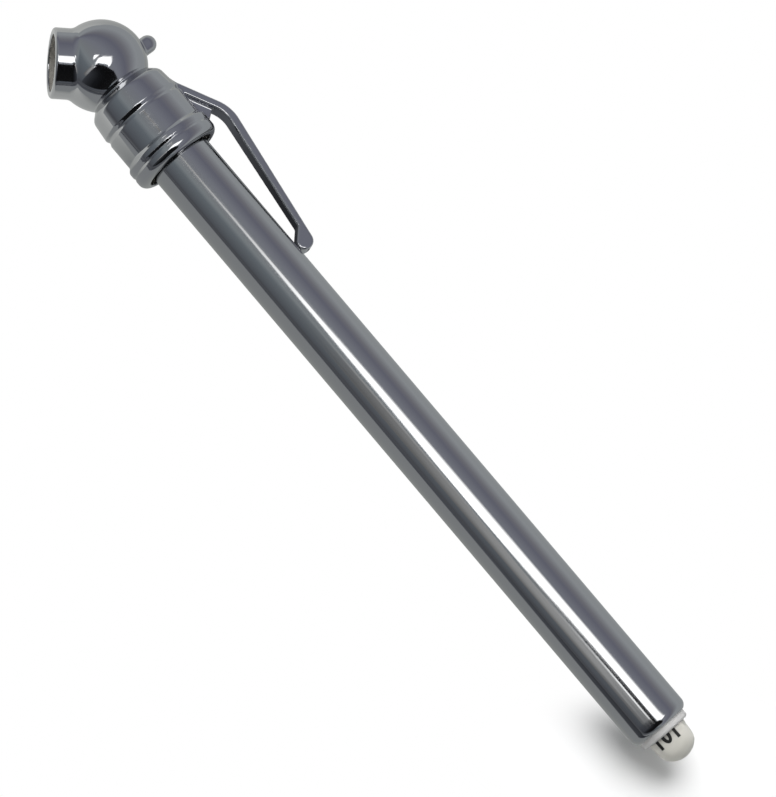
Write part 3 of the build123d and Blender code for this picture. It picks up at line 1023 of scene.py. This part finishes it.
def makeWorld():
    world = bpy.data.worlds.new("studio")
    bpy.context.scene.world = world
    world.use_nodes = True
    tree = world.node_tree
    tree.nodes.clear()
    straight = addSeenRays(tree)
    grey = addNode(tree, "ShaderNodeBackground", {"Color": linear(room["grey"]), "Strength": 1.0})
    white = addNode(tree, "ShaderNodeBackground", {"Color": (1, 1, 1, 1), "Strength": 1.0})
    seen = addNode(tree, "ShaderNodeMixShader", {0: straight, 1: grey, 2: white})
    addNode(tree, "ShaderNodeOutputWorld", {"Surface": seen})


makeWorld()

# Soft lamp for the paper and the plastics, and for the shadow
lampSettings = {"power": 5.0, "size": 600.0, "way": (-0.40, 0.22, 0.88), "distance": 600.0}


def addLamp():
    light = bpy.data.lights.new("softLamp", "AREA")
    light.shape = "DISK"
    light.size = lampSettings["size"] * mm
    light.energy = lampSettings["power"]
    lamp = bpy.data.objects.new("softLamp", light)
    bpy.context.collection.objects.link(lamp)
    way = Vector(lampSettings["way"]).normalized()
    lamp.location = atBarrel(view["aimAlong"]) + way * lampSettings["distance"] * mm
    lamp.rotation_euler = way.to_track_quat("Z", "Y").to_euler()
    lamp.visible_camera = False
    lamp.visible_glossy = False


addLamp()


# A surface that only the metal sees. It gives off its own light, with a tone at each point.
def addGlowing(name, points, faces, tones, strength):
    mesh = newMesh(name, points, faces)
    tone = mesh.attributes.new("tone", "FLOAT_COLOR", "POINT")
    tone.data.foreach_set("color", np.array(tones).ravel())
    finish, tree = startFinish(name)
    read = addNode(tree, "ShaderNodeAttribute", attribute_name="tone")
    glow = addNode(tree, "ShaderNodeEmission", {"Color": read, "Strength": strength})
    addNode(tree, "ShaderNodeOutputMaterial", {"Surface": glow})
    mesh.materials.append(finish)
    board = showMesh(name, mesh)
    board.visible_camera = board.visible_diffuse = board.visible_shadow = board.visible_transmission = False


# A direction from the barrel: degrees round it from overhead, and degrees towards its tip
def wayOut(around, ahead):
    a, b = math.radians(around), math.radians(ahead)
    return (overhead * math.cos(a) - upward * math.sin(a)) * math.cos(b) + Vector((math.sin(b), 0, 0))


# A board round the barrel, kept above the floor. Rows of its points, each with two directions and a tone.
def addBoard(name, rows, strength, far):
    centre = atBarrel(view["aimAlong"])
    lowest = floorLevel + 0.02 * mm
    points, tones, faces = [], [], []
    for row in rows:
        for around, ahead, tone in row:
            way = wayOut(around, ahead)
            reach = far * mm
            if way.z < 0:
                reach = min(reach, (centre.z - lowest) / -way.z)
            points.append(centre + way * reach)
            tones.append(tone)
    wide = len(rows[0])
    for i in range(len(rows) - 1):
        for j in range(wide - 1):
            k = i * wide + j
            faces.append((k, k + 1, k + wide + 1, k + wide))
    addGlowing(name, points, faces, tones, strength)


# Every 2 degrees round the barrel and every 5 towards its tip
def makeRoom():
    angles = [angle for angle, code in room["tones"]]
    tones = np.array([linear(code) for angle, code in room["tones"]])
    rows = []
    for around in np.arange(-180, 181, 2.0):
        tone = [np.interp(around, angles, channel) for channel in tones.T]
        rows.append([(around, ahead, tone) for ahead in np.linspace(-90, 90, 37)])
    addBoard("room", rows, room["strength"], room["far"])


makeRoom()


# A row of a board's points where the tube mirrors one place along the barrel, from its left edge to its right
def boardRow(along, left, right, shares, tones):
    ahead = math.degrees(math.atan((along - view["over"]) / view["height"]))
    return [(left + (right - left) * share, ahead, tone) for share, tone in zip(shares, tones)]


# Painted reflection of a softbox, which only the metal sees and which lights nothing, as rows of place, left
# and right edge, and how bright it is there
softboxReflection = {
    "strength": 2.3,
    "far": 18000.0,
    "least": 0.13,  # about as bright as the room beside it
    "rows": [
        (-96, -7, -3, 1.0), (-80, -10, 0, 1.0), (-50, -14, 3, 1.0), (-36, -16, 5, 1.0), (-27, -14, 2, 0.13),
        (-12, -10, -5, 0.13), (-2, -10, -5, 0.13), (5, -10, -5, 0.28), (14, -11, -5, 0.4), (22, -13, -3, 0.7),
        (30, -14.6, -0.7, 0.95), (45, -21.7, 2.8, 1.0), (60, -24.2, 8.0, 1.0), (75, -25.6, 9.4, 1.0),
        (85, -26.6, 3.5, 1.0), (95, -27.7, -1.0, 1.0), (104, -29, -1.5, 1.0), (146, -38, -5, 1.0),
        (200, -34, -11, 1.0), (260, -28, -15.5, 1.0), (300, -20, -13, 1.0),
    ],
}


# It is dim at its left edge and full from a quarter of the way in
def makeSoftboxReflection():
    shares = np.linspace(0, 1, 9)
    rows = []
    for along, left, right, bright in softboxReflection["rows"]:
        lights = [max(bright * min(1.0, 0.25 + share * 3), softboxReflection["least"]) for share in shares]
        tones = [(light, light, light, 1) for light in lights]
        rows.append(boardRow(along, left, right, shares, tones))
    addBoard("softboxReflection", rows, softboxReflection["strength"], softboxReflection["far"])


makeSoftboxReflection()

# Painted reflection of a strip lamp beside the camera and its glow on the wall, seen only by the metal and
# lighting nothing, as rows of place, left and right edge, line and glow
strip = {
    "strength": 1.5,
    "far": 18800.0,
    "wall": 0.13,
    "shares": (0.0, 0.1, 0.22, 0.45, 0.72, 1.0),  # of its width: the line, then the glow and its fading
    "rows": [
        (36, 14, 46, 0.3, 0.13), (48, 12, 46, 0.31, 0.18), (62, 12, 46, 0.31, 0.24),
        (76, 17, 46, 0.31, 0.31), (86, 18, 46, 0.33, 0.3), (94, 11.5, 46, 0.8, 0.34),
        (102, 10, 46, 1.6, 0.34), (106.5, 10, 46, 1.6, 0.34),
    ],
}


def makeStrip():
    rows = []
    for along, left, right, line, glow in strip["rows"]:
        lights = (line, line, glow, glow, 0.8 * glow, strip["wall"])
        tones = [(light, light, light, 1) for light in lights]
        rows.append(boardRow(along, left, right, strip["shares"], tones))
    addBoard("stripLampReflection", rows, strip["strength"], strip["far"])


makeStrip()

# Painted dark reflection round the camera and past it, seen only by the metal, which the ball, the chuck and
# the rolled edge mirror, as rows of place, left and right edge, and the tone at each
darkReflection = {
    "strength": 1.0,
    "far": 18400.0,
    "change": (0.2, 0.55),  # shares of its width between which one tone turns into the other
    "rows": [
        (80, 9, 17, "8c8e90", "8c8e90"), (86, 3, 18, "808386", "808386"),
        (94, -1, 12, "5a5c5e", "5a5c5e"), (100, -2, 11, "3c3c3e", "3c3c3e"),
        (106.5, -2, 11, "2c2c2e", "2c2c2e"), (107.5, 2, 64, "141415", "45474d"),
        (150, 0, 64, "121213", "3e4045"), (200, -6, 64, "121213", "34363a"),
        (330, -12, 62, "121213", "1e1f22"), (500, -20, 60, "121213", "141415"),
        (1000, -20, 50, "1a1a1b", "1a1a1b"),
    ],
}


def makeDarkReflection():
    shares = np.linspace(0, 1, 13)
    changes = np.interp(shares, darkReflection["change"], (0, 1))
    rows = []
    for along, left, right, leftCode, rightCode in darkReflection["rows"]:
        leftTone, rightTone = np.array(linear(leftCode)), np.array(linear(rightCode))
        tones = [leftTone * (1 - change) + rightTone * change for change in changes]
        rows.append(boardRow(along, left, right, shares, tones))
    addBoard("darkReflection", rows, darkReflection["strength"], darkReflection["far"])


makeDarkReflection()

# Painted reflections lying on the paper, which only the metal sees, their corners along and aside: dark past
# its slanting edge, painted shade under the clip, and light round the chuck, painted where the paper shines
# back
floorReflections = {
    "paperEdge": [
        ((-30, -82), "43454a"), ((75, -38), "45474c"), ((96, -29), "303235"), ((140, -12), "26272a"),
        ((140, -600), "26272a"), ((-30, -600), "43454a"),
    ],
    "clipShade": [
        ((-4, 2), "4a4c50"), ((3, 2), "1c1d1f"), ((23, 2), "232427"), ((23, 9), "2c2d30"),
        ((3, 13), "1c1d1f"), ((-4, 14), "5a5c60"),
    ],
    "chuckGlow": [
        ((-80, -55), "b4b5b3"), ((-16, -38), "a6a7a5"), ((-6, -22), "7e807f"), ((-6, 16), "7e807f"),
        ((-16, 30), "989a98"), ((-80, 50), "a4a5a3"),
    ],
}


def makeFloorReflections():
    level = floorLevel + 0.05 * mm
    for name, corners in floorReflections.items():
        places = [atBarrel(*place) for place, code in corners]
        points = [(place.x, place.y, level) for place in places]
        tones = [linear(code) for place, code in corners]
        addGlowing(name, points, [tuple(range(len(points)))], tones, room["strength"])


makeFloorReflections()

bpy.context.scene.view_settings.view_transform = "Standard"
print("stage set")
